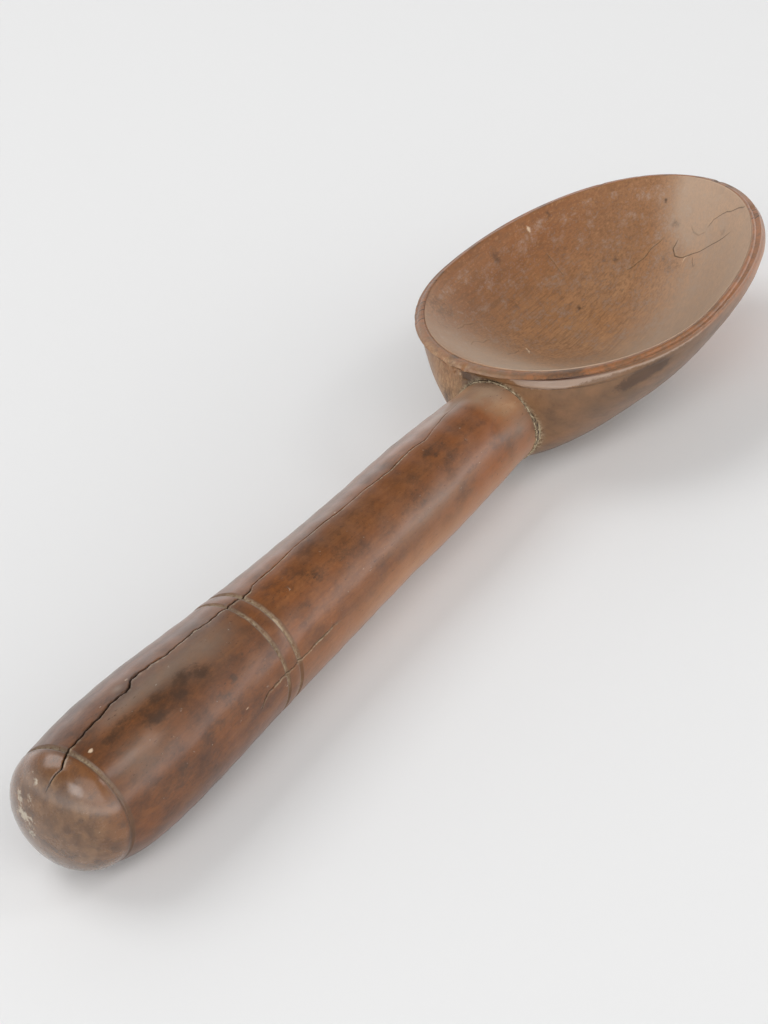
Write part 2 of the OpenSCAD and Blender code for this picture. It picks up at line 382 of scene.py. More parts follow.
def dome_lift(s):
    """The dome's pole sits a little high."""
    return 2.2 * (1 - handle_radius(s) / BUTT_R) * (s < 0)


def crack_gap(line, s, angle):
    """Signed distance in millimetres round the handle from a crack's wandering middle."""
    jog = 0.35 * np.sin(s * 0.83 + 1) + 0.3 * np.sin(s * 2.1) + 0.3 * np.sign(np.sin(s * 0.47))
    jog = jog * (1 - 0.6 * step(s, 64, 70))
    return np.radians(turn(angle, along(line, s) + jog)) * np.maximum(handle_radius(s), 6)


def crack_depth(s, angle):
    """How deep the cracks go at each place of the handle."""
    depth = 0
    for line, depths, widths, _ in CRACKS:
        deep = along(depths, s) * (0.75 + 0.25 * np.sin(s * 1.9 + 2) * np.sin(s * 0.6))
        depth = depth + deep * np.clip(1.15 - np.abs(crack_gap(line, s, angle)) / along(widths, s), 0, 1)
    return depth


def crack_marks(s, angle):
    """The nearest crack's signed distance in half widths, its depth and its dust, for each place."""
    nearest, strength, pale = np.full_like(s, 99.0), np.zeros_like(s), np.zeros_like(s)
    for line, depths, widths, dust in CRACKS:
        gap = crack_gap(line, s, angle) / along(widths, s)
        nearer = np.abs(gap) < np.abs(nearest)
        nearest = np.where(nearer, gap, nearest)
        beside = nearer & (np.abs(gap) < CRACK_REACH)
        strength = np.where(beside, along(depths, s), strength)
        pale = np.where(beside, along(dust, s), pale)
    return nearest, strength, pale


def groove_gap(groove, s, angle):
    """Signed distance from a groove's middle in half widths."""
    place, stray, width, _ = groove
    middle = place + stray * (1 - np.cos(np.radians(turn(angle, -70)))) / 2
    return (s - middle) / width


def groove_depth(s, angle):
    worn = 0.82 + 0.18 * np.sin(np.radians(angle * 3) + s * 0.1)
    worn = worn * np.where(s < BUTT_GROOVE_END, 0.3 + 0.7 * hump(turn(angle, -5), 75), 1)
    shares = [groove[3] * step(1 - np.abs(groove_gap(groove, s, angle)), 0, 0.75) for groove in GROOVES]
    bead = 0.16 * hump(s - (GROOVES[1][0] + GROOVES[2][0]) / 2 - 0.4, 1.7)
    return sum(shares) * worn - bead


def skin_run(s):
    """Distance from the butt groove over the skin, which on the dome runs further than along the axis."""
    at = np.linspace(-DOME_LEN, 0, 200)
    run = np.concatenate([[0], np.cumsum(np.hypot(np.diff(at), np.diff(handle_radius(at))))])
    return np.where(s < 0, np.interp(s, at, run) - run[-1], s)


def patches(s, angle, marks):
    """Sum of soft round patches, from (place, angle, length, width, strength)."""
    total = 0
    for at, way, length, width, strength in marks:
        across = np.radians(turn(angle, way)) * np.maximum(handle_radius(s), 1)
        off = np.hypot((skin_run(s) - skin_run(np.array(at))) / length, across / width)
        total = total + strength * hump(off, 1)
    return total


def handle_skin(s, angle):
    """Radius of the worn handle at each place and angle."""
    around = np.radians(angle)
    plain = handle_radius(s)
    points = np.stack([(s + BUTT_X) / 3, plain * np.sin(around), plain * np.cos(around)], -1)
    dents = 0.12 * ripple(points, 14, 3) + 0.05 * ripple(points * (3, 1, 1), 4, 5)
    body = step(s, -7, 2) * (1 - step(s, 168, 174))
    low_wear = 1.5 * hump(s + 2, 6) * hump(turn(angle, -150), 55)
    far_wear = 0.45 * hump(s - 70, 45) * hump(turn(angle, 75), 60)
    carved = groove_depth(s, angle) + crack_depth(s, angle)
    return plain + (dents - 0.15) * body - carved - low_wear - far_wear


def handle_grid():
    """Places along the handle and angles round it, closer together along the cracks and at the grooves."""
    dome = -DOME_LEN * np.cos(np.radians(np.linspace(2, 88.5, DOME_ROWS)))
    spots = [(groove[0] + groove[1] / 2, 1.9) for groove in GROOVES]
    body = crowded(-0.25, HANDLE_LEN - 0.02, HANDLE_ROWS, spots, 4)
    s = np.concatenate([dome, body])[:, None]
    angle = crowded(-180, 180, HANDLE_AROUND + 1, [(TOP_CRACK_AT, 6), (SIDE_CRACK_AT, 5)], 4)[:-1][None]
    for line, base, reach in ((TOP_CRACK, TOP_CRACK_AT, 30), (SIDE_CRACK, SIDE_CRACK_AT, 22)):
        angle = angle + (along(line, s) - base) * hump(turn(angle, base), reach)
    return np.broadcast_to(s, angle.shape), angle


def handle_tail(around):
    """Rings of the shoulder and of the tenon, and the middle of the tenon's end."""
    end = -SEAT_BACK + TENON_LEN
    rings = ((SHOULDER_X, ROOT_R - 0.3), (SHOULDER_X, TENON_R), (end, TENON_R), (end, TENON_R / 2))
    return [round_ring(x, r, around) for x, r in rings], (end, 0, axis_z(end))


def make_handle():
    s, angle = handle_grid()
    around = np.radians(angle)
    lift = dome_lift(s)
    skin = round_ring(s + BUTT_X, handle_skin(s, angle), around)
    skin[..., 2] += lift
    tail, tenon_end = handle_tail(around[-1])
    butt_end = (BUTT_X - DOME_LEN, 0, AXIS_H + lift.max())
    piece = ring_grid("turned_handle", np.concatenate([skin, tail]), butt_end, tenon_end)
    cut(piece, kerf_blade())
    where = places(piece)
    s = where[:, 0] - BUTT_X
    angle = np.degrees(np.arctan2(where[:, 1], where[:, 2] - axis_z(where[:, 0]) - dome_lift(s)))
    mark(piece, **handle_marks(s, angle, where))
    soften(piece)
    return piece


def kerf_blade():
    """The wedge's own shape, tall enough to go right through the tenon."""
    low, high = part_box("tenon_wedge")
    x0, x1, thick = low.x / MM, high.x / MM + 1, high.y / MM
    thin = thick * WEDGE_TAPER
    outline = ((x0, -thin), (x1, -thick), (x1, thick), (x0, thin))
    heights = (AXIS_H - 2 * TENON_R, AXIS_H + 2 * TENON_R)
    points = [Vector((x, y, z)) * MM for z in heights for x, y in outline]
    faces = [(3, 2, 1, 0), (4, 5, 6, 7)] + [(i, (i + 1) % 4, (i + 1) % 4 + 4, i + 4) for i in range(4)]
    return new_piece("kerf_blade", points, faces, soft=False)


def groove_dust(s, angle, where):
    """How much pale dust the grooves hold. It is missing on the underside and thins out on the far side."""
    kept = step(angle, -150, -115) * (1 - step(angle, 95, 130))
    uneven = np.clip(0.8 + 0.7 * ripple(where, 5.0, 21), 0.1, 1.2)
    thinned = np.where(s < BUTT_GROOVE_END, hump(turn(angle, -4), 42), 1 - 0.55 * step(angle, 0, 40))
    return kept * uneven * thinned


def handle_marks(s, angle, where):
    on_skin = (s < HANDLE_LEN - 0.5).astype(float)
    gap, deep, dust = crack_marks(s, angle)
    grooves = np.min([np.abs(groove_gap(groove, s, angle)) for groove in GROOVES], axis=0)
    plan = np.stack([s, np.radians(angle) * handle_radius(s)], -1)
    lines = [[(at, math.radians(way) * float(handle_radius(at))) for at, way in line]
             for line in HANDLE_SCRATCHES]
    return {
        "crack_gap": gap,
        "crack_deep": deep * on_skin,
        "crack_dust": dust * on_skin,
        "groove": np.minimum(grooves, 4),
        "groove_dust": groove_dust(s, angle, where) * on_skin,
        "stain": patches(s, angle, HANDLE_STAINS) * on_skin,
        # Grey places: worn wood, and painted sheen and highlights
        "worn_grey_and_sheen": patches(s, angle, HANDLE_GREYS_AND_SHEENS),
        "nick": patches(s, angle, HANDLE_NICKS) + 0.6 * scratches(plan, lines, 0.45),
        "chalk": patches(s, angle, CHALK),
        "seam": step(s, HANDLE_LEN - 3.2, HANDLE_LEN - 0.9) * on_skin,
    }


# Bowl

# Points round each ring
BOWL_AROUND = 430
# Angles round the rim in degrees, from the tip towards the far side
UNDERCUT_AT, FAR_CHEEK_AT, END_WOOD_AT, THIN_LIP_AT = -158, 154, 156, 163


def rim_z(x):
    return RIM_H + x * math.tan(math.radians(RIM_TILT))


def swell(t):
    return SWELL_GAIN * t * (1 - t) ** 3


def egg(angle, mid, back, front, side, back_n=2.0, front_n=2.0):
    """Points of an egg-shaped ring, as in the part's source, for angles in degrees."""
    c, s = np.cos(np.radians(angle)), np.sin(np.radians(angle))
    n = np.where(c > 0, front_n, back_n)
    reach = np.where(c > 0, front, back)
    x = mid + np.sign(c) * reach * np.abs(c) ** (2 / n)
    return x, np.sign(s) * side * np.abs(s) ** (2 / n)


def wall_back(t):
    taper = (RIM_BACK - FLAT_BACK) * (1 - t**BACK_CURVE)
    return FLAT_BACK + taper - BACK_STEP * np.minimum(t / STEP_SHARE, 1) * (1 - t)


def wall_front(t):
    return FLAT_FRONT + (RIM_FRONT - FLAT_FRONT) * (1 - t**FRONT_CURVE) + TIP_SWELL * swell(t)


def wall_side(t):
    return FLAT_SIDE + (RIM_SIDE - FLAT_SIDE) * (1 - t**SIDE_CURVE)


def hollow_shape(u):
    """The hollow's middle, its reach back and forward and its half width, at the share u of its depth."""
    mid = DEEP_AT * u
    back = mid - DEEP_AT + (DEEP_AT + RIM_BACK - BACK_LIP_W) * (1 - u) ** BACK_CLIMB
    front = DEEP_AT + (RIM_FRONT - LIP_W - DEEP_AT) * (1 - u) ** FRONT_CLIMB - mid
    return mid, back, front, (RIM_SIDE - LIP_W) * (1 - u) ** SIDE_CLIMB


def hollow_ring(angle, u):
    """Points of the hollow at the share u of the way down from the rim."""
    x, y = egg(angle, *hollow_shape(u))
    return np.stack([x, y, rim_z(x) * (1 - u) + FLOOR_T * u], -1)


def outer_ring(angle, t):
    """Points of the lip's face, the groove under it and the wall, at the share t of the way down."""
    near = under_lip(angle)
    far_cheek = hump(turn(angle, FAR_CHEEK_AT), 17) * hump(t - 0.45, 0.32)
    groove = (0.2 + 0.5 * near) * hump(t - 0.047, 0.012)
    shelf = 2.8 * near * step(t, 0.052, 0.118) * (1 - step(t, 0.16, 0.6))
    x, y = egg(
        angle, 0, wall_back(t), wall_front(t), wall_side(t),
        2 + BACK_FULLNESS * swell(t), 2 + FRONT_FULLNESS * swell(t),
    )
    out = shelf - groove + 1.3 * far_cheek
    widest = RIM_SIDE - 0.05
    x = x + out * np.cos(np.radians(angle))
    y = np.clip(y + out * np.sin(np.radians(angle)), -widest, widest)
    return np.stack([x, y, rim_z(x) * (1 - t)], -1)


def under_lip(angle):
    """How much the wall is undercut below the lip, mostly on the near side of the neck."""
    return hump(turn(angle, UNDERCUT_AT), 25)


def lip_ring(angle, w):
    """Points across the top of the lip, from its inner edge at w = 0 to its outer edge at w = 1."""
    bevel = LIP_BEVEL * w
    back, front, side = (
        reach - lip * (1 - w) - bevel
        for reach, lip in ((RIM_BACK, BACK_LIP_W), (RIM_FRONT, LIP_W), (RIM_SIDE, LIP_W))
    )
    x, y = egg(angle, 0, back, front, side)
    crown = 0.5 * abs(2 * w - 1) ** 3
    return np.stack([x, y, rim_z(x) - crown], -1)


# Cracks inside the bowl, seen from above, as (line, half width, strength). Those of one set lie well apart.
CRACK_SETS = (
    (
        (((44.5, 9.5), (47.5, 7.8), (50, 6.5), (53.8, 5), (57, 2.8)), 0.13, 0.8),
        (((59, -8.7), (60.8, -10.5), (61, -14.5), (59.5, -18.3), (57.7, -22.3)), 0.15, 0.95),
        (((52, -7.9), (50.5, -8.3), (49, -9.5)), 0.13, 0.7),
        (((-20.5, 25), (-14.5, 26.3), (-9.2, 26)), 0.18, 0.4),
        (((-24.8, 18.2), (-21, 20.2), (-17.5, 19.3), (-11, 20.5)), 0.18, 0.4),
        (((31.5, 27.3), (31.8, 24.8), (30.8, 21)), 0.18, 0.5),
    ),
    (
        (
            ((57.5, -1.5), (54.5, -0.5), (52.6, -2.2), (52.4, -4.6), (52.8, -7), (53.6, -11), (53.9, -15.7),
             (53.6, -20)),
            0.16, 1.15,
        ),
        (((-17, 12.5), (-13, 12.8), (-9, 13.6), (-7.5, 15)), 0.18, 0.45),
        (((60.5, -3.5), (58.8, -5), (57.6, -7.2), (58.4, -9.4)), 0.18, 0.4),
    ),
)
# The sets' names in the marks
CRACK_NAMES = "ab"
# Pale scratches inside the bowl, as lines seen from above
PALE_SCRATCHES = (
    ((31, 33.5), (31.8, 30)), ((50.5, -5.2), (52, -5.4), (53, -6.5)), ((33.5, 33), (34, 31)),
    ((-8, 11), (-5, 13), (-4, 16)),
)
# Dark spots and smudges inside the bowl, seen from above: place, radius and strength
BOWL_SPOTS = (
    (16.5, 34, 0.8, 0.95), (15.8, 33.2, 1.9, 0.45), (64.3, 6, 0.5, 1.3), (25.7, 14.2, 0.7, 0.7),
    (26.6, 13.2, 1.6, 0.4), (46.2, 12.8, 1.5, 0.6), (43.6, 15.4, 1.1, 0.5), (17.2, 31, 0.4, 1.0),
    (31, 21, 0.45, 0.8), (49, -9.5, 0.5, 0.9), (49.8, -2.8, 3.0, 0.5), (51.6, 0.4, 2.0, 0.4),
    (39.2, 30.2, 1.0, 0.8), (58.2, 22.5, 0.5, 0.9), (-17, 32, 4.5, 0.55), (-24, 27, 3.0, 0.4),
    (56, -15.5, 1.6, 0.5), (70, -9, 0.9, 0.9), (60.5, 1, 1.8, 0.5), (36, 24, 4, 0.3), (10, 26, 5, 0.3),
)
# Dark stains on the outside, as (angle, millimetres below the rim, width and height in millimetres, strength)
WALL_STAINS = (
    (-123, 5.6, 5.0, 2.0, 1.9), (-116, 5.0, 3.6, 1.6, 1.7), (-130, 7.0, 3.4, 1.8, 1.3),
    (-104, 4.0, 2.5, 1.0, 0.5), (172, 8.0, 3.0, 4.0, 1.3), (166, 5.5, 2.5, 2.4, 1.2),
    (156, 14, 4.0, 5.0, 0.8), (-75, 6, 6, 1.5, 0.3),
)
# Height in millimetres of the painted highlight band under the lip, at angles round the rim, and how far
# below the rim it starts
HIGHLIGHT_BAND_HEIGHT = (
    (-172, 0), (-166, 2.5), (-160, 2.6), (-149, 1.8), (-141, 1.0), (-133, 0.5), (-120, 0.8), (-104, 0.6),
    (-88, 0),
)
HIGHLIGHT_BAND_TOP = 2.0
# Stains along the lip, as (angle, width in degrees, strength)
LIP_STAINS = (
    (55, 3, 0.8), (36, 2, 0.6), (12, 2.5, 0.7), (-2, 2, 0.8), (-10, 3, 1.0), (-17, 2, 0.8), (96, 2, 0.6),
    (79, 2, 0.5), (-155, 5, 0.7), (-147, 5, 0.8), (120, 5, 0.5), (-40, 3, 0.6), (163, 4, 0.8),
    (-168, 6, 0.5), (150, 6, 0.5),
)
# Notches in the lip's outer edge, as (angle, width in degrees, depth)
LIP_NOTCHES = (
    (116, 1.2, 0.1), (122, 1.2, 0.08), (128, 1.4, 0.12), (163, 1.6, 0.5), (171, 1.2, 0.5), (36, 0.8, 0.35),
    (22, 0.7, 0.25), (-10, 1.2, 0.35), (-89, 0.9, 0.3), (-85, 0.8, 0.35), (-98, 0.7, 0.25), (-36, 0.9, 0.3),
)
# Thin cuts slanting across the lip, as (angle, slant), and the radius that turns angles to lengths there
LIP_CUTS = ((116, 0.6), (121.5, 0.7), (128, 0.6), (-36, -0.4), (-43, 0.5), (101, 0.4))
LIP_CUT_R = 44
# Chips out of the wall beside the neck, as (angle, millimetres below the rim, width, depth). They are wider
# than high.
NECK_CHIPS = ((163, 5.2, 1.1, 0.7), (169, 7.0, 1.3, 0.8), (174, 8.6, 1.0, 0.6), (160, 3.2, 0.8, 0.5))
CHIP_SQUASH = 1.4


def cut_gap(angle, edge):
    """Signed distance in millimetres from the nearest cut across the lip."""
    gaps = np.array([np.radians(turn(angle, at)) * LIP_CUT_R - slant * edge for at, slant in LIP_CUTS])
    nearest = np.abs(gaps).argmin(axis=0)
    return np.take_along_axis(gaps, nearest[None], axis=0)[0]


def crack_layer(x, y, lines):
    """The nearest line's signed distance in half widths and its strength, for each place seen from above."""
    points = np.stack([np.ravel(x), np.ravel(y)], -1)
    points = points + 0.12 * np.stack([np.sin(points[:, 1] * 1.1), np.sin(points[:, 0] * 1.4)], -1)
    nearest, strength = np.full(len(points), 99.0), np.zeros(len(points))
    for line, width, deep in lines:
        gap, share = gap_to_line(points, line)
        nearer = np.abs(gap / width) < np.abs(nearest)
        fade = deep * step(share, 0, 0.1) * (1 - step(share, 0.85, 1))
        nearest = np.where(nearer, gap / width, nearest)
        strength = np.where(nearer & (np.abs(gap) < 1.6), fade, strength)
    return nearest.reshape(np.shape(x)), strength.reshape(np.shape(x))


def bowl_crack(x, y):
    """Depth of the bowl's cracks at each place seen from above."""
    depth = 0
    for lines in CRACK_SETS:
        gap, strength = crack_layer(x, y, lines)
        depth = depth + 0.14 * strength * hump(gap, 2.5)
    return depth


def lip_marks(angle, marks):
    """Sum of soft marks along the lip, from (angle, width in degrees, strength)."""
    return sum(strength * hump(turn(angle, at), wide) for at, wide, strength in marks)


def wall_patches(angle, below, marks):
    """Sum of soft patches on the outside, from (angle, distance below the rim, width, height, strength)."""
    total = 0
    for at, down, wide, high, strength in marks:
        across = np.radians(turn(angle, at)) * RIM_BACK
        total = total + strength * hump(np.hypot(across / wide, (below - down) / high), 1)
    return total


def wall_chips(angle, below):
    """Depth of the chips beside the neck."""
    chips = [(at, down, size, size / CHIP_SQUASH, deep) for at, down, size, deep in NECK_CHIPS]
    return wall_patches(angle, below, chips)


def hollow_rows(angle):
    """Rings from the deepest place up to the lip."""
    for v in crowded(0.012, 1, 100, [(0.62, 0.1), (0.8, 0.1), (0.97, 0.05)], 1.2):
        ring = hollow_ring(angle, 1 - v * v)
        uneven = 0.28 * ripple(ring, 22, 11) + 0.07 * ripple(ring, 6, 12)
        uneven = uneven * step(v, 0, 0.2) * (1 - step(v, 0.85, 0.99))
        ring[:, 2] += uneven - bowl_crack(ring[:, 0], ring[:, 1])
        yield ring


def lip_rows(angle):
    """Rings over the lip, from its inner edge to its outer edge."""
    for w in np.linspace(0, 1, 13)[1:]:
        ring = lip_ring(angle, w)
        worn = 0.12 * (1 + ripple(ring, 12, 13)) * w
        ring[:, 2] -= worn + lip_marks(angle, LIP_NOTCHES) * step(w, 0.3, 1)
        yield ring


def outer_rows(angle):
    """Rings from the lip's outer edge down to the flat."""
    around = np.radians(angle)
    top = LIP_BEVEL / RIM_H
    for j in crowded(0, 1, 80, [(0.05, 0.05), (0.12, 0.05)], 2.5):
        t = top + (1 - top) * j
        ring = outer_ring(angle, t)
        uneven = 0.12 * ripple(ring, 16, 14) + 0.05 * ripple(ring, 5, 15) + 0.15
        inward = uneven * step(t, 0.03, 0.2) * (1 - step(t, 0.9, 1)) + wall_chips(angle, t * RIM_H)
        inward = inward + lip_marks(angle, LIP_NOTCHES) * (1 - step(t, 0.03, 0.07))
        ring[:, :2] -= np.stack([inward * np.cos(around), inward * np.sin(around)], -1)
        yield ring


def bowl_rows():
    """Rings from the deepest place over the lip and down to the flat, with the middle points of both ends."""
    spots = [(-24, 8), (-12, 8), (0, 8), (12, 8), (180, 22), (-180, 22), (-150, 20)]
    angle = crowded(-180, 180, BOWL_AROUND + 1, spots, 1.7)[:-1]
    rows = [*hollow_rows(angle), *lip_rows(angle), *outer_rows(angle)]
    middle = np.array([(FLAT_FRONT - FLAT_BACK) / 2, 0, 0])
    rows += [middle + (rows[-1] - middle) * share for share in (0.8, 0.55, 0.3)]
    rows = np.array(rows)
    rows[..., 2] = np.maximum(rows[..., 2], 0)
    return rows, (DEEP_AT, 0, FLOOR_T), middle


def make_bowl():
    piece = ring_grid("carved_bowl", *bowl_rows())
    socket_end = -SEAT_BACK + TENON_LEN + SOCKET_R - TENON_R
    outline = ((-RIM_BACK - 30, ROOM_R), (-SEAT_BACK, ROOM_R), (-SEAT_BACK, SOCKET_R), (socket_end, SOCKET_R))
    cut(piece, revolved("root_room", outline))
    mark(piece, **bowl_marks(places(piece)))
    soften(piece)
    return piece


def edge_gap(x, y):
    """Signed distance in millimetres outwards from the hollow's edge, seen from above."""
    a = np.where(x > 0, RIM_FRONT - LIP_W, RIM_BACK - BACK_LIP_W)
    b = RIM_SIDE - LIP_W
    reach = np.maximum(np.hypot(x / a, y / b), 1e-6)
    return (reach - 1) * reach / np.hypot(x / a**2, y / b**2)


def painted_sheen(x, y):
    """How strongly a grey sheen, a painted reflection, lies on the inside at each place seen from above."""
    back = 1.3 * hump(np.hypot(x + 30, (y - 2) / 2.0), 17)
    return back + 1.5 * step(x, 50, 66) * step(-y, -12, 6) + 1.5 * step(-y, -8, 22)


def bowl_marks(where):
    x, y, z = where.T
    plan = where[:, :2]
    below = rim_z(x) - z
    angle = np.degrees(np.arctan2(y / RIM_SIDE, x / np.where(x > 0, RIM_FRONT, RIM_BACK)))
    edge = edge_gap(x, y)
    hollow = ((edge < 0.15) & (below < hollow_fall(plan) + 0.9)).astype(float)
    spots = sum(strength * hump(np.hypot(x - px, y - py), size) for px, py, size, strength in BOWL_SPOTS)
    seat_gap = np.abs(np.hypot(y, z - axis_z(x)) - ROOM_R)
    marks = {
        "hollow": hollow,
        "edge": np.clip(edge, -4, 4),
        "near": under_lip(angle),
        "thin_lip": 1 - step(np.abs(turn(angle, THIN_LIP_AT)), 22, 34),
        "stain": spots * hollow + wall_patches(angle, below, WALL_STAINS) * (1 - hollow),
        "lip_stain": lip_marks(angle, LIP_STAINS),
        "cut_gap": np.clip(cut_gap(angle, edge), -3, 3),
        "nick": scratches(plan, PALE_SCRATCHES, 0.5) * hollow + 0.9 * wall_chips(angle, below) * (1 - hollow),
        # Painted highlight band under the lip
        "highlight_band": np.clip(along(HIGHLIGHT_BAND_HEIGHT, angle) - (below - HIGHLIGHT_BAND_TOP), -1, 1) * (1 - hollow),
        "neck": hump(seat_gap, 0.7) * step(-x, 38, 41) * (z < 31),
        "endgrain": hump(turn(angle, END_WOOD_AT), 24) * (1 - hollow),
        # Painted sheen inside the bowl, a painted reflection
        "worn_grey_and_sheen": hollow * painted_sheen(x, y),
    }
    for name, lines in zip(CRACK_NAMES, CRACK_SETS):
        gap, strength = crack_layer(x, y, lines)
        marks.update({"crack_gap_" + name: gap, "crack_deep_" + name: strength * hollow})
    return marks


def hollow_fall(plan):
    """How far the hollow lies below the rim at each place (x, y) seen from above."""
    x, y = plan.T
    low, high = np.zeros(len(plan)), np.ones(len(plan))
    for _ in range(14):
        u = (low + high) / 2
        mid, back, front, side = hollow_shape(u)
        reach = np.hypot((x - mid) / np.where(x < mid, back, front), y / side)
        low, high = np.where(reach < 1, u, low), np.where(reach < 1, high, u)
    return (rim_z(x) - FLOOR_T) * low


# Old glue and dust in the seam

# Sizes of the seam's threads and crumbs in metres, the count of the crumbs, and the seed
SEAM_SIZES = {
    "Thread radius": 0.21 * MM, "Wander": 0.5 * MM, "Lump size": 1.6 * MM, "Crumb radius": 0.17 * MM,
    "Crumbs": 150, "Seed": 4,
}
# How far the crumbs stray, in thread radii, and how small and large they are, in crumb radii
CRUMB_REACH = (3.0, 0.6, 0.6)
CRUMB_SIZES = (0.3, 1.4)
# Across the film's outer edge, from the seat out along the wall and back along the handle: how far in
# front of the seam and how far out from the handle each row lies. The threads follow two of these rows.
FILM_EDGE = (
    (0.6, 0.1), (0.1, 0.22), (-0.4, 0.2), (-0.9, 0.12), (-1.5, 0.1), (-2.0, 0.06), (-2.4, -0.06),
    (-2.4, -0.35),
)
THREAD_PLACES = (2, 5)
# Step round the film in degrees, and how far it stays off the wood
FILM_TURN = 0.75
SKIN_GAP = 0.02


def seam_x(angle):
    """Where the bowl's outer wall meets the handle's root, at each angle round the handle."""
    y = ROOM_R * np.sin(np.radians(angle))
    z = axis_z(-SEAT_BACK) + ROOM_R * np.cos(np.radians(angle))
    x = np.full_like(y, -SEAT_BACK)
    for _ in range(3):
        t = np.clip(1 - z / rim_z(x), LIP_BEVEL / RIM_H, 0.999)
        n = 2 + BACK_FULLNESS * swell(t)
        x = -wall_back(t) * (1 - np.minimum(np.abs(y) / wall_side(t), 0.999) ** n) ** (1 / n)
    return np.minimum(x, -SEAT_BACK)


def make_glue():
    """A thin film between the shoulder and the seat, with two threads and their crumbs along the seam."""
    angle = np.arange(-180, 180, FILM_TURN)
    around = np.radians(angle)
    meet = seam_x(angle)
    rows = [round_ring(-SEAT_BACK, r, around) for r in (TENON_R + 0.15, ROOT_R - 0.5, ROOM_R - SKIN_GAP)]
    threads = [len(rows) + place for place in THREAD_PLACES]
    for back, out in FILM_EDGE:
        x = np.minimum(meet + back, -SEAT_BACK)
        r = np.maximum(handle_radius(x - BUTT_X) + SKIN_GAP + out, ROOT_R - 0.35)
        rows.append(round_ring(x, r, around))
    for r in (ROOT_R - 0.35, ROOT_R - 0.6, TENON_R + 0.15):
        rows.append(round_ring(SHOULDER_X + SKIN_GAP, r, around))
    piece = closed_loop("old_glue", np.array(rows))
    thread = np.zeros((len(rows), len(around)))
    thread[threads] = 1
    mark(piece, thread=thread.ravel())
    grow_threads(piece)
    return piece


def grow_threads(piece):
    """Adds the threads and crumbs with Geometry Nodes, and turns the result into a plain mesh."""
    modifier = piece.modifiers.new("seam", "NODES")
    modifier.node_group = seam_tree(old_glue())
    for item in modifier.node_group.interface.items_tree:
        if item.name in SEAM_SIZES:
            modifier[item.identifier] = SEAM_SIZES[item.name]
    bake(piece)


def seam_tree(material):
    """Tubes along the marked rows of edges and crumbs beside them, joined to the film."""
    tree = bpy.data.node_groups.new("seam_threads", "GeometryNodeTree")
    tree.interface.new_socket("Film", in_out="INPUT", socket_type="NodeSocketGeometry")
    for name, size in SEAM_SIZES.items():
        kind = "NodeSocketInt" if isinstance(size, int) else "NodeSocketFloat"
        tree.interface.new_socket(name, in_out="INPUT", socket_type=kind)
    tree.interface.new_socket("Glue", in_out="OUTPUT", socket_type="NodeSocketGeometry")
    graph = Graph(tree)
    inputs = graph.node("NodeGroupInput").outputs
    given = {name: Number(graph, inputs[name]) for name in SEAM_SIZES}
    film = inputs["Film"]
    thread = graph.first("GeometryNodeInputNamedAttribute", {"data_type": "FLOAT"}, Name="thread")
    curve = graph.first("GeometryNodeMeshToCurve", Mesh=film, Selection=Number(graph, thread).above(0.75))
    grown = graph.joined(seam_tubes(graph, given, curve), seam_crumbs(graph, given, curve))
    grown = graph.first("GeometryNodeRealizeInstances", Geometry=grown)
    pale = {"Geometry": grown, "Name": "pale", "Value": 1.0}
    grown = graph.first("GeometryNodeStoreNamedAttribute", {"domain": "POINT"}, **pale)
    smoothed = graph.first("GeometryNodeSetShadeSmooth", Geometry=graph.joined(film, grown))
    real = graph.first("GeometryNodeRealizeInstances", Geometry=smoothed)
    dressed = graph.first("GeometryNodeSetMaterial", Geometry=real, Material=material)
    graph.node("NodeGroupOutput", None, {"Glue": dressed})
    return tree


def seam_tubes(graph, given, curve):
    """Tubes along the curve, uneven in place and thickness."""
    noise = {"Vector": graph.first("GeometryNodeInputPosition"), "W": given["Seed"],
             "Scale": 1 / given["Lump size"], "Detail": 3.0}
    lumps = graph.node("ShaderNodeTexNoise", {"noise_dimensions": "4D"}, noise).outputs
    drift = graph.vector("SUBTRACT", {0: lumps["Color"], 1: (0.5, 0.5, 0.5)})
    drift = graph.vector("SCALE", {0: drift, "Scale": given["Wander"] * 2})
    moved = graph.first("GeometryNodeSetPosition", Geometry=curve, Offset=drift)
    circle = graph.first("GeometryNodeCurvePrimitiveCircle", Resolution=8, Radius=given["Thread radius"])
    thickness = (Number(graph, lumps["Fac"]) * 3 - 0.6).between(0.0, 1.0) + 0.15
    return graph.first("GeometryNodeCurveToMesh", Curve=moved, Profile_Curve=circle, Scale=thickness)


def seam_crumbs(graph, given, curve):
    """Small grains of many sizes, strewn beside the curve."""
    spread = graph.first("GeometryNodeCurveToPoints", {"mode": "COUNT"}, Curve=curve, Count=given["Crumbs"])
    reach = graph.vector("SCALE", {0: CRUMB_REACH, "Scale": given["Thread radius"]})
    back = graph.vector("SCALE", {0: reach, "Scale": -1.0})
    strays = {"Min": back, "Max": reach, "Seed": given["Seed"]}
    stray = graph.first("FunctionNodeRandomValue", {"data_type": "FLOAT_VECTOR"}, **strays)
    moved = graph.first("GeometryNodeSetPosition", Geometry=spread, Offset=stray)
    grain = graph.first("GeometryNodeMeshIcoSphere", Radius=given["Crumb radius"], Subdivisions=1)
    sizes = {2: CRUMB_SIZES[0], 3: CRUMB_SIZES[1], "Seed": given["Seed"] + 1}
    size = graph.node("FunctionNodeRandomValue", {"data_type": "FLOAT"}, sizes).outputs[1]
    return graph.first("GeometryNodeInstanceOnPoints", Points=moved, Instance=grain, Scale=size)


# Materials


def srgb(r, g, b):
    """A colour given by its 0 to 255 screen values."""
    def linear(c):
        c /= 255
        return c / 12.92 if c <= 0.04045 else ((c + 0.055) / 1.055) ** 2.4
    return (linear(r), linear(g), linear(b), 1.0)


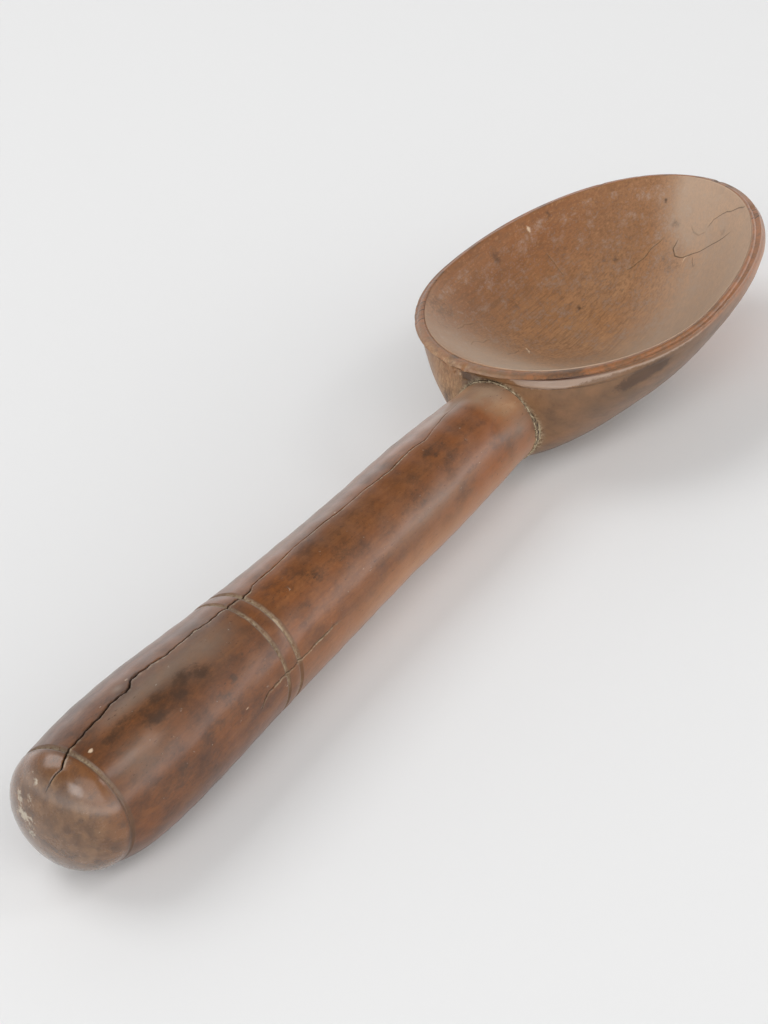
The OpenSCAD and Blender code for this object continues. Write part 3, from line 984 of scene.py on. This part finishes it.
class Graph:
    """A node tree under construction. Every node is made by node, and first gives a node's first output."""

    def __init__(self, tree):
        self.tree = tree

    def node(self, kind, settings=None, sockets=None):
        made = self.tree.nodes.new(kind)
        for key, value in (settings or {}).items():
            setattr(made, key, value)
        for key, value in (sockets or {}).items():
            self.feed(made.inputs[key], value)
        return made

    def first(self, kind, settings=None, **sockets):
        """The first output of a new node. Its sockets are named with _ in the place of a space."""
        named = {key.replace("_", " "): value for key, value in sockets.items()}
        return self.node(kind, settings, named).outputs[0]

    def vector(self, operation, sockets):
        return self.node("ShaderNodeVectorMath", {"operation": operation}, sockets).outputs[0]

    def joined(self, *parts):
        join = self.node("GeometryNodeJoinGeometry")
        for part in parts:
            self.feed(join.inputs[0], part)
        return join.outputs[0]

    def feed(self, socket, value):
        value = value.socket if isinstance(value, Number) else value
        if isinstance(value, bpy.types.NodeSocket):
            self.tree.links.new(value, socket)
        else:
            socket.default_value = value


class Number:
    """A number socket. An expression on it adds Math nodes."""

    def __init__(self, graph, socket):
        self.graph, self.socket = graph, socket

    def math(self, operation, *values):
        made = self.graph.node("ShaderNodeMath", {"operation": operation}, dict(enumerate(values)))
        return Number(self.graph, made.outputs[0])

    def __add__(self, other):
        return self.math("ADD", self, other)

    def __sub__(self, other):
        return self.math("SUBTRACT", self, other)

    def __rsub__(self, other):
        return self.math("SUBTRACT", other, self)

    def __mul__(self, other):
        return self.math("MULTIPLY", self, other)

    def __truediv__(self, other):
        return self.math("DIVIDE", self, other)

    def __rtruediv__(self, other):
        return self.math("DIVIDE", other, self)

    __radd__ = __add__
    __rmul__ = __mul__

    def size(self):
        return self.math("ABSOLUTE", self)

    def above(self, limit):
        return self.math("GREATER_THAN", self, limit)

    def at_most(self, limit):
        return self.math("MINIMUM", self, limit)

    def clamped(self):
        return self.math("MAXIMUM", self, 0.0).at_most(1.0)

    def between(self, low, high):
        """0 up to low and 1 from high on."""
        return ((self - low) / (high - low)).clamped()


class Finish(Graph):
    """A material under construction."""

    def __init__(self, name):
        self.material = bpy.data.materials.new(name)
        self.material.use_nodes = True
        super().__init__(self.material.node_tree)
        self.shader = self.tree.nodes["Principled BSDF"]
        self.place = self.node("ShaderNodeTexCoord").outputs["Object"]

    def noise(self, size, stretch=(1, 1, 1), detail=3.0, rough=0.5, shift=0.0):
        """Uneven value about 0.5, with lumps of the given size in millimetres, drawn out by stretch."""
        scale = tuple(1 / (size * MM * s) for s in stretch)
        moved = self.first("ShaderNodeMapping", Vector=self.place, Location=(shift,) * 3, Scale=scale)
        sockets = {"Vector": moved, "Scale": 1.0, "Detail": detail, "Roughness": rough}
        return Number(self, self.node("ShaderNodeTexNoise", None, sockets).outputs["Fac"])

    def noises(self, **kinds):
        """Several uneven values, each under its name, from the settings that noise takes."""
        return SimpleNamespace(**{name: self.noise(*kind) for name, kind in kinds.items()})

    def mark(self, name):
        return Number(self, self.node("ShaderNodeAttribute", {"attribute_name": name}).outputs["Fac"])

    def axis(self, name):
        """The place along one axis, in millimetres."""
        split = self.node("ShaderNodeSeparateXYZ", None, {0: self.place})
        return Number(self, split.outputs[name]) / MM

    def mix(self, share, a, b):
        return self.node("ShaderNodeMix", {"data_type": "RGBA"}, {0: share, 6: a, 7: b}).outputs[2]

    def paint(self, colour, *layers):
        """The colour with layers over it, each with its share and its tone in screen values."""
        for share, tone in layers:
            colour = self.mix(share, colour, srgb(*tone))
        return colour

    def bump(self, height, strength, distance, below=None):
        sockets = {"Height": height, "Strength": strength, "Distance": distance * MM}
        if below is not None:
            sockets["Normal"] = below
        return self.first("ShaderNodeBump", **sockets)

    def set(self, **sockets):
        for key, value in sockets.items():
            self.feed(self.shader.inputs[key.replace("_", " ")], value)


# Tones that the woods share, in screen values
DUST = (172, 156, 128)
GROOVE_DUST = (164, 150, 124)
CRACK_DARK = (34, 24, 16)
STAIN_DARK = (62, 44, 32)
# Grey of worn places and of painted sheen and highlights on the handle
WORN_GREY_AND_SHEEN = (140, 124, 110)
# Grey of the painted sheen inside the bowl
SHEEN_GREY = (176, 158, 140)
PALE_NICK = (208, 184, 156)


def aged(wood, colour, n, worn_grey_and_sheen):
    """The dark stains, grey places and pale nicks that both woods carry. The grey is painted sheen and
    highlights, mixed with worn grey wood on the handle.
    """
    ragged = (n.blot - 0.5) * 1.5 + (n.grit - 0.5) * 0.9
    blotch = wood.mark("stain") * (n.blot * 2.6 - 0.4) + (n.grit - 0.5) * 0.9
    return wood.paint(
        colour,
        # Grey places, partly worn wood and partly painted sheen and highlights
        ((wood.mark("worn_grey_and_sheen") * (0.9 + ragged * 0.3)).clamped() * 0.6, worn_grey_and_sheen),
        (blotch.between(0.25, 0.9) * 0.75, STAIN_DARK),
        ((wood.mark("nick") * (1 + ragged)).between(0.4, 0.75) * 0.8, PALE_NICK),
    )


def cracked(wood, colour, gap, deep, full, dust, grit):
    """A dark line, darkest at the full depth, with pale dust beside it. Gives the colour and the darkness."""
    wander = (grit - 0.5) * 1.7
    off = (gap + wander).size()
    beside = (gap + wander * 1.5 + 1.3).size()
    dusty = dust * deep.between(0.02, 0.3) * (2.2 - beside).between(0.0, 1.2) * grit.between(0.4, 0.58)
    dark = deep.between(0.0, full) * (1.3 - off).between(0.0, 0.8)
    return wood.paint(colour, (dusty * 0.75, DUST), (dark * 0.93, CRACK_DARK)), dark


def handle_ground(wood, n, x, z):
    """The turned wood's mottled colours, darker on the grip, with a painted reflection of the floor
    underneath and a painted sheen over pale worn wood on top of the root.
    """
    grip, shank, root_top_sheen = 1 - x.between(-176, -150), x.between(-100, -58), x.between(-60, -49)
    # Painted reflection of the floor along the underside
    low = (1 - z.between(13, 19)) * x.between(-165, -112)
    return wood.paint(
        srgb(108, 66, 36),
        (n.patch.between(0.36, 0.64), (125, 72, 32)),
        (n.streak.between(0.42, 0.7) * 0.45, (128, 84, 50)),
        (n.cloud.between(0.46, 0.68) * 0.7, (72, 44, 26)),
        (n.blot.between(0.52, 0.74) * 0.4, (68, 44, 28)),
        (n.blot.between(0.46, 0.3) * 0.25, (136, 86, 48)),
        (n.grit.between(0.55, 0.7) * 0.25, (66, 42, 26)),
        (n.grit.between(0.45, 0.3) * 0.22, (142, 94, 58)),
        (n.fibre.between(0.4, 0.7) * 0.3, (80, 52, 32)),
        (grip * (n.cloud * 1.8 - 0.3).clamped() * 0.65, (56, 34, 22)),
        # Painted reflection of the floor along the underside
        (low * 0.6, (172, 122, 82)),
        # Painted sheen on pale worn wood on top of the root
        (root_top_sheen * z.between(22, 27) * 0.85, (204, 166, 128)),
        (shank * n.cloud.between(0.62, 0.4) * 0.5, (134, 78, 40)),
    )


def butt_ground(wood, n, x, z):
    """The duller end wood of the dome, warmer where its edge is rubbed."""
    warm = x.between(BUTT_X - 6.5, BUTT_X - 2.6) * z.between(4, 20)
    return wood.paint(
        srgb(84, 58, 38),
        (n.mottle.between(0.36, 0.64), (112, 82, 56)),
        (warm * 0.85, (112, 70, 36)),
        (n.blot.between(0.5, 0.7) * 0.6, (62, 46, 34)),
    )


def handle_wood():
    wood = Finish("handle_wood")
    n = wood.noises(
        fibre=(0.5, (16, 1, 1), 3, 0.6),
        streak=(2.4, (9, 1, 1), 3, 0.6, 3.0),
        patch=(15, (1.8, 1, 1), 2, 0.5, 7.0),
        cloud=(5, (1.8, 1, 1), 5, 0.7, 11.0),
        blot=(2.0, (1.7, 1, 1), 4, 0.7, 17.0),
        grit=(0.8, (1.6, 1, 1), 4, 0.7, 5.0),
        pores=(0.42, (3, 1, 1), 2, 0.5, 9.0),
        mottle=(2.6, (1, 1, 1), 4, 0.6, 13.0),
        lumps=(2.2, (1.5, 1, 1), 3, 0.6, 2.0),
    )
    x, z = wood.axis("X"), wood.axis("Z")
    dome = 1 - x.between(BUTT_X - 1.6, BUTT_X - 0.4)
    colour = wood.mix(dome, handle_ground(wood, n, x, z), butt_ground(wood, n, x, z))
    # Stains, nicks, and grey places with painted sheen and highlights
    colour = aged(wood, colour, n, WORN_GREY_AND_SHEEN)
    chalk = (wood.mark("chalk") + (n.mottle - 0.5) * 1.6 + (n.grit - 0.5) * 2.6).between(0.55, 0.95)
    off = wood.mark("groove") + (n.grit - 0.5) * 1.2 + (n.blot - 0.5) * 0.9
    filled = (1 - off.between(0.35, 0.95)) * wood.mark("groove_dust").between(0.0, 0.7)
    colour = wood.paint(
        colour,
        (n.pores.between(0.66, 0.74) * 0.5, (52, 34, 24)),
        (chalk * 0.65, (196, 188, 172)),
        # Painted shade in the grooves, beside their pale dust
        ((1 - off.between(0.9, 1.5)) * 0.45, (84, 66, 50)),
        (filled * n.grit.between(0.34, 0.6) * 0.6, GROOVE_DUST),
        (wood.mark("seam") * n.grit.between(0.4, 0.6) * 0.5, DUST),
    )
    gap, deep, dust = wood.mark("crack_gap"), wood.mark("crack_deep"), wood.mark("crack_dust")
    colour, dark = cracked(wood, colour, gap, deep, 0.7, dust, n.grit)
    grain = wood.bump(n.fibre + n.pores * 0.4, 0.16, 0.1)
    roughness = 0.21 + n.cloud * 0.13 + n.grit * 0.08 - dome * 0.05 + filled * 0.4 + dark * 0.4 + chalk * 0.3
    coat = 0.26 + dome * 0.6 - 0.3 * (filled + dark) - chalk
    wood.set(Base_Color=colour, Roughness=roughness.clamped(), Normal=wood.bump(n.lumps, 0.16, 0.22, grain))
    wood.set(Specular_IOR_Level=0.28, Coat_Roughness=0.2, Coat_Weight=coat.clamped())
    return wood.material


def inside_ground(wood, n, x, y, below):
    """The hollow's colours, darker up its far side, partly as painted shade, and darker at the tip."""
    return wood.paint(
        srgb(170, 128, 92),
        (n.patch.between(0.4, 0.62), (178, 126, 80)),
        (n.mottle.between(0.42, 0.66) * 0.6, (120, 84, 52)),
        (n.blot.between(0.5, 0.7) * 0.4, (104, 70, 42)),
        # Darker and more orange up the far side: its own tone with painted shade
        (y.between(2, 26) * (1 - below.between(8, 24)) * 0.85, (120, 72, 34)),
        (x.between(38, 58) * y.between(-8, 6) * 0.65, (128, 88, 54)),
    )


def outside_ground(wood, n, x, below):
    """The wall's colours, redder towards the tip, with bare end wood on the far side of the neck."""
    wall = wood.paint(
        srgb(100, 76, 55),
        (n.patch.between(0.4, 0.62), (115, 84, 57)),
        (n.mottle.between(0.48, 0.7) * 0.5, (70, 53, 42)),
        (x.between(12, 46) * 0.8, (184, 114, 58)),
    )
    end_wood = wood.paint(
        srgb(120, 88, 58),
        (n.rings.between(0.36, 0.64), (176, 138, 98)),
        (n.blot.between(0.44, 0.64) * (1 - below.between(3, 12)) * 0.8, (132, 78, 36)),
    )
    return wood.mix(wood.mark("endgrain") * 0.85, wall, end_wood)


def lip_paint(wood, colour, n, x, y, below):
    """The lip over the colour, with its stains, its cuts, its greyer tip and a painted highlight along its
    inner edge.
    """
    edge, outer = wood.mark("edge"), 1 - wood.mark("hollow")
    reach = 1.4 + x.between(-20, 20) * 1.9
    lip = outer * (1 - (below - reach).between(-0.6, 0.9))
    lip = lip * (1 - (edge - 1.6).between(-0.5, 0.9) * wood.mark("thin_lip"))
    tip = x.between(60, 68) * edge.between(0.4, 1.4)
    tone = wood.paint(
        srgb(118, 84, 58),
        (n.blot.between(0.4, 0.6), (150, 96, 58)),
        (n.grit.between(0.55, 0.7) * 0.5, (70, 50, 38)),
    )
    stain = (wood.mark("lip_stain") + (n.grit - 0.5)).between(0.4, 0.9) * lip
    cuts = (0.3 - (wood.mark("cut_gap") + (n.grit - 0.5) * 0.3).size()).between(0.0, 0.2) * outer
    # Painted highlight along the lip's inner edge
    edge_highlight = (0.28 - (edge - 0.1).size()).between(0.0, 0.16) * (1 - below.between(0.6, 1.4))
    return wood.paint(
        wood.mix(lip * (0.8 - 0.6 * tip).clamped(), colour, tone),
        (tip * lip * 0.6, (104, 88, 74)),
        (stain * 0.7, (74, 58, 46)),
        (cuts * (1 - below.between(2.0, 3.4)) * 0.85, CRACK_DARK),
        # Painted highlight along the lip's inner edge
        (edge_highlight * x.between(6, 34) * y.between(8, -4) * 0.5, (206, 178, 150)),
    )


def under_lip_paint(wood, colour, n, below):
    """A painted highlight band under the lip, and painted shade in the groove between the two."""
    # Painted shade in the groove under the lip
    groove = wood.mark("near").between(0.35, 0.85) * (0.42 - (below - 1.65).size()).between(0.0, 0.25)
    highlight_band = (wood.mark("highlight_band") + (n.mottle - 0.5) * 1.6 + (n.grit - 0.5) * 1.4).between(0.0, 0.5)
    return wood.paint(
        colour,
        # Painted highlight on the band under the lip
        (highlight_band * (below - HIGHLIGHT_BAND_TOP).between(-0.2, 0.1) * 0.55, (172, 150, 134)),
        # Painted shade in the groove
        (groove * (1 - wood.mark("hollow")) * 0.85, (58, 26, 18)),
    )


def bowl_wood():
    wood = Finish("bowl_wood")
    n = wood.noises(
        fibre=(0.55, (18, 1, 1), 4, 0.65),
        streak=(4.5, (5, 1, 1), 3, 0.6, 3.0),
        patch=(22, (1.6, 1, 1), 2, 0.5, 9.0),
        mottle=(4.2, (1.5, 1, 1), 5, 0.7, 4.0),
        blot=(2.2, (1.4, 1, 1), 4, 0.7, 17.0),
        grit=(0.8, (1.5, 1, 1), 4, 0.7, 6.0),
        rings=(1.1, (0.9, 1, 2.4), 4, 0.7, 21.0),
    )
    x, y, z = (wood.axis(name) for name in "XYZ")
    below = rim_z(x) - z
    hollow, neck = wood.mark("hollow"), wood.mark("neck")
    fine = 0.4 + hollow * 0.75
    colour = wood.paint(
        wood.mix(hollow, outside_ground(wood, n, x, below), inside_ground(wood, n, x, y, below)),
        (n.streak.between(0.4, 0.7) * 0.35, (150, 106, 72)),
        (n.fibre.between(0.44, 0.64) * 0.42 * fine, (100, 70, 46)),
        (n.grit.between(0.54, 0.7) * 0.45 * fine, (92, 66, 46)),
        (n.grit.between(0.46, 0.32) * 0.32 * hollow, (176, 134, 94)),
    )
    colour = lip_paint(wood, colour, n, x, y, below)
    colour = under_lip_paint(wood, colour, n, below)
    colour = wood.paint(
        # Stains and nicks, with the painted grey sheen inside the bowl
        aged(wood, colour, n, SHEEN_GREY),
        (neck * n.grit.between(0.38, 0.6) * 0.75, DUST),
        (neck * n.grit.between(0.6, 0.4) * 0.5, STAIN_DARK),
    )
    dark = 0
    for name in CRACK_NAMES:
        gap, deep = wood.mark("crack_gap_" + name), wood.mark("crack_deep_" + name)
        colour, line = cracked(wood, colour, gap, deep, 1.7, 0.2, n.grit)
        dark = line + dark
    grain = wood.bump(n.fibre + n.grit * 0.5, 0.2, 0.1)
    roughness = 0.3 + hollow * 0.2 + n.mottle * 0.14 + n.grit * 0.08 + neck * 0.3 + dark * 0.3
    coat = 0.25 - 0.25 * hollow - 0.3 * (neck + dark)
    wood.set(Base_Color=colour, Roughness=roughness.clamped(), Normal=wood.bump(n.mottle, 0.18, 0.26, grain))
    wood.set(Specular_IOR_Level=0.32, Coat_Roughness=0.26, Coat_Weight=coat.clamped())
    return wood.material


def old_glue():
    glue = Finish("old_glue")
    grit = glue.noise(0.7, (1, 1, 1), 4, 0.65)
    film = glue.paint(srgb(60, 46, 34), (grit.between(0.4, 0.62), (120, 100, 76)))
    thread = glue.paint(srgb(104, 86, 64), (grit.between(0.4, 0.64), (186, 170, 140)))
    colour = glue.mix(glue.mark("pale"), film, thread)
    glue.set(Base_Color=colour, Roughness=0.7, Normal=glue.bump(grit, 0.4, 0.15))
    return glue.material


def wedge_wood():
    wedge = Finish("wedge_wood")
    fibre = wedge.noise(0.8, (10, 1, 1), 3, 0.6)
    colour = wedge.paint(srgb(170, 134, 92), (fibre.between(0.35, 0.65), (196, 160, 114)))
    wedge.set(Base_Color=colour, Roughness=0.7)
    return wedge.material


def dress(piece, node_name, material=None):
    """Puts the piece in the place of its CAD node. The material is given unless the piece already has it."""
    if material:
        piece.data.materials.clear()
        piece.data.materials.append(material)
    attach(piece, "root")
    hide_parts(node_name)


# Studio

FLOOR_TONE = srgb(229, 229, 229)
FLOOR_REACH = 4.0
# Lamps: name, place in metres, size in metres and power in watts. They all face the ladle.
LAMPS = (
    ("room_window", (-1.80, -2.20, 2.80), 3.0, 42.0),
    ("left_window", (-0.34, 1.67, 2.48), 1.8, 29.0),
    ("ceiling", (0.00, 0.00, 3.50), 3.0, 5.0),
    ("far_window", (1.60, 2.20, 2.20), 2.0, 9.0),
    ("side_window", (0.63, -1.20, 1.39), 0.40, 2.7),
    ("front_window", (-1.76, -0.37, 1.24), 0.75, 8.0),
)
# Light of the white surround: its level at the horizon, which fades upwards, the most that it reaches,
# and the level of the rest, which fades towards the tip's end
HORIZON_LEVEL = 5.6
SURROUND_LIMIT = 3.1
SKY_LEVEL = 0.17
LADLE_MIDDLE = Vector((-0.075, 0.0, 0.015))
# Camera: place in millimetres, the way that it looks and its up direction, with its lens in millimetres
CAMERA_AT = Vector((-504.9, -286.7, 316.2)) * MM
CAMERA_LOOKS = Vector((0.7022, 0.4951, -0.5116))
CAMERA_UP = Vector((0.4796, 0.2022, 0.8539))
CAMERA_LENS = 86.13


def make_floor():
    corners = [(x * FLOOR_REACH, y * FLOOR_REACH, 0) for x, y in ((-1, -1), (1, -1), (1, 1), (-1, 1))]
    floor = new_piece("floor", corners, [(0, 1, 2, 3)], soft=False)
    surface = Finish("pale_floor")
    surface.set(Base_Color=FLOOR_TONE, Roughness=0.9, Specular_IOR_Level=0.0)
    floor.data.materials.append(surface.material)


def make_lamps():
    for name, place, size, power in LAMPS:
        data = bpy.data.lights.new(name, "AREA")
        data.energy = power
        data.size = size
        lamp = new_object(name, data)
        lamp.location = place
        lamp.rotation_mode = "QUATERNION"
        lamp.rotation_quaternion = (Vector(place) - LADLE_MIDDLE).to_track_quat("Z", "Y")


def make_world():
    world = bpy.data.worlds.new("studio")
    world.use_nodes = True
    bpy.context.scene.world = world
    back = world.node_tree.nodes["Background"]
    back.inputs["Color"].default_value = (1, 1, 1, 1)
    graph = Graph(world.node_tree)
    way = graph.node("ShaderNodeTexCoord").outputs["Generated"]
    split = graph.node("ShaderNodeSeparateXYZ", None, {0: way})
    x, y, z = (Number(graph, split.outputs[name]) for name in "XYZ")
    fall = (1 - z).clamped()
    horizon = (HORIZON_LEVEL * (fall * fall * fall)).at_most(SURROUND_LIMIT) * (0.7 - 0.25 * y)
    glow = horizon + SKY_LEVEL * (0.5 - 0.5 * x)
    seen = Number(graph, graph.node("ShaderNodeLightPath").outputs["Is Camera Ray"])
    graph.feed(back.inputs["Strength"], glow * (1 - seen) + seen * FLOOR_TONE[0])


def make_camera():
    data = bpy.data.cameras.new("camera")
    data.lens = CAMERA_LENS
    data.sensor_width = 36
    data.clip_start = 0.01
    camera = new_object("camera", data)
    back = -CAMERA_LOOKS.normalized()
    right = CAMERA_UP.cross(back).normalized()
    turned = Matrix((right, back.cross(right), back)).transposed()
    camera.matrix_world = Matrix.Translation(CAMERA_AT) @ turned.to_4x4()
    bpy.context.scene.camera = camera


# Assembly


def paint_wedge():
    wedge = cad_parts["tenon_wedge"]
    wedge.data.materials.clear()
    wedge.data.materials.append(wedge_wood())


dress(make_handle(), "handle", handle_wood())
dress(make_bowl(), "bowl", bowl_wood())
dress(make_glue(), "glue_line")
paint_wedge()
make_floor()
make_lamps()
make_world()
make_camera()
bpy.context.scene.view_settings.view_transform = "Standard"
